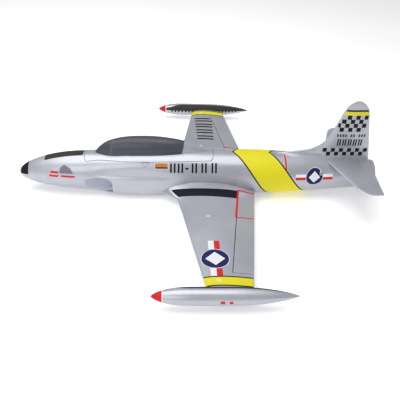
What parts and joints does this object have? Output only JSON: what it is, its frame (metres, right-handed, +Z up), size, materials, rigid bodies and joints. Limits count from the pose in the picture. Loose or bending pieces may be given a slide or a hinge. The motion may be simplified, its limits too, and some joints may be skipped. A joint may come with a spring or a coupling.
{
  "type": "rc jet plane",
  "caption": "Foam ducted-fan model of a straight-wing two-seat jet trainer with tip tanks, tinted canopy, lift-off hatch and linked control surfaces.",
  "frame": {"origin": "on the ground under the middle of the object's box, with the belly resting on the ground", "axes": "+X aft along the fuselage from nose to tail, +Y to starboard, +Z up"},
  "size_m": [0.8679, 0.8474, 0.2471],
  "materials": {
    "silver_foam": "satin silver paint over moulded foam, fine bead texture",
    "canopy_tint": "glossy vacuum-formed plastic, smoke tinted and backed",
    "carbon_tube": "pultruded carbon tube",
    "steel_wire": "bright spring wire",
    "servo_case": "translucent blue moulded case",
    "nylon": "moulded white nylon",
    "duct_plastic": "thin white formed plastic sheet",
    "fan_plastic": "black glass-filled nylon",
    "motor_can": "anodised machined can",
    "exhaust_metal": "dull spun aluminium ring",
    "plywood": "thin birch plywood",
    "battery_wrap": "heat-shrink wrap",
    "strap_webbing": "woven hook-and-loop webbing",
    "electronics": "shrink-wrapped circuit",
    "red_wire": "silicone insulation",
    "black_wire": "silicone insulation",
    "servo_wire": "three-strand servo lead",
    "magnet": "nickel-plated disc"
  },
  "bodies": {
    "airframe": {"nose_cone": "silver_foam", "fuselage_left": "silver_foam", "fuselage_right": "silver_foam", "wing_left": "silver_foam", "wing_right": "silver_foam", "wing_spar": "carbon_tube", "tip_tank_left": "silver_foam", "tip_tank_right": "silver_foam", "aileron_pins_left": "steel_wire", "aileron_pins_right": "steel_wire", "tailplane": "silver_foam", "fin": "silver_foam", "elevator_pins": "steel_wire", "aileron_servo_left": "servo_case", "aileron_servo_right": "servo_case", "elevator_servo": "servo_case", "intake_duct_left": "duct_plastic", "intake_duct_right": "duct_plastic", "fan_housing": "fan_plastic", "fan_motor": "motor_can", "tail_cone": "fan_plastic", "thrust_tube": "duct_plastic", "exhaust_ring": "exhaust_metal", "nose_former": "plywood", "fan_former": "plywood", "rear_former": "plywood", "battery_tray": "plywood", "battery": "battery_wrap", "battery_strap": "strap_webbing", "speed_controller": "electronics", "receiver": "electronics", "battery_lead": "red_wire", "motor_leads": "black_wire", "aileron_leads": "servo_wire", "belly_plate": "duct_plastic", "belly_screws": "steel_wire", "magnet_blocks": "plywood", "fuselage_magnets": "magnet"},
    "hatch": {"hatch": "silver_foam", "canopy": "canopy_tint", "hatch_magnets": "magnet"},
    "aileron_left": {"aileron_left": "silver_foam", "aileron_horn_left": "nylon"},
    "aileron_right": {"aileron_right": "silver_foam", "aileron_horn_right": "nylon"},
    "servo_arm_left": {"servo_arm_left": "nylon"},
    "servo_arm_right": {"servo_arm_right": "nylon"},
    "pushrod_left": {"pushrod_left": "steel_wire"},
    "pushrod_right": {"pushrod_right": "steel_wire"},
    "elevator": {"elevator_left": "silver_foam", "elevator_right": "silver_foam", "elevator_joiner": "steel_wire", "elevator_horn": "nylon"},
    "servo_arm_elevator": {"servo_arm_elevator": "nylon"},
    "pushrod_elevator": {"pushrod_elevator": "steel_wire"},
    "fan_rotor": {"fan_rotor": "fan_plastic", "motor_shaft": "steel_wire"}
  },
  "joints": [
    {"name": "aileron_left_hinge", "type": "hinge", "parent": "airframe", "child": "aileron_left", "pos_m": [0.07238, -0.23195, 0.02805], "axis": [0.1459, 0.9891, -0.0173], "range_deg": [-20, 20]},
    {"name": "aileron_right_hinge", "type": "hinge", "parent": "airframe", "child": "aileron_right", "pos_m": [0.07238, 0.23195, 0.02805], "axis": [-0.1459, 0.9891, 0.0173], "range_deg": [-20, 20]},
    {"name": "servo_arm_left_turn", "type": "hinge", "parent": "airframe", "child": "servo_arm_left", "pos_m": [0.02489, -0.22497, 0.02653], "axis": [0.1459, 0.9891, -0.0173], "range_deg": [-20, 20]},
    {"name": "servo_arm_right_turn", "type": "hinge", "parent": "airframe", "child": "servo_arm_right", "pos_m": [0.02489, 0.22497, 0.02653], "axis": [-0.1459, 0.9891, 0.0173], "range_deg": [-20, 20]},
    {"name": "pushrod_left_pivot", "type": "hinge", "parent": "servo_arm_left", "child": "pushrod_left", "pos_m": [0.02489, -0.22518, 0.01453], "axis": [0.1459, 0.9891, -0.0173], "range_deg": [-20, 20]},
    {"name": "pushrod_right_pivot", "type": "hinge", "parent": "servo_arm_right", "child": "pushrod_right", "pos_m": [0.02489, 0.22518, 0.01453], "axis": [-0.1459, 0.9891, 0.0173], "range_deg": [-20, 20]},
    {"name": "elevator_hinge", "type": "hinge", "parent": "airframe", "child": "elevator", "pos_m": [0.389, 0, 0.0965], "axis": [0, 1, 0], "range_deg": [-20, 20]},
    {"name": "servo_arm_elevator_turn", "type": "hinge", "parent": "airframe", "child": "servo_arm_elevator", "pos_m": [-0.039, -0.0325, 0.091], "axis": [0, 1, 0], "range_deg": [-20, 20]},
    {"name": "pushrod_elevator_pivot", "type": "hinge", "parent": "servo_arm_elevator", "child": "pushrod_elevator", "pos_m": [-0.039, -0.0325, 0.079], "axis": [0, 1, 0], "range_deg": [-20, 20]},
    {"name": "fan_spin", "type": "hinge", "parent": "airframe", "child": "fan_rotor", "pos_m": [0.04, 0, 0.0555], "axis": [1, 0, 0], "continuous": true},
    {"name": "hatch_lift", "type": "slide", "parent": "airframe", "child": "hatch", "axis": [0, 0, 1], "range_m": [0, 0.06]}
  ],
  "couplings": [
    {"joint": "aileron_right_hinge", "follows": "aileron_left_hinge", "ratio": -1},
    {"joint": "servo_arm_left_turn", "follows": "aileron_left_hinge", "ratio": 1},
    {"joint": "servo_arm_right_turn", "follows": "aileron_left_hinge", "ratio": -1},
    {"joint": "pushrod_left_pivot", "follows": "aileron_left_hinge", "ratio": -1},
    {"joint": "pushrod_right_pivot", "follows": "aileron_left_hinge", "ratio": 1},
    {"joint": "servo_arm_elevator_turn", "follows": "elevator_hinge", "ratio": 1},
    {"joint": "pushrod_elevator_pivot", "follows": "elevator_hinge", "ratio": -1}
  ]
}
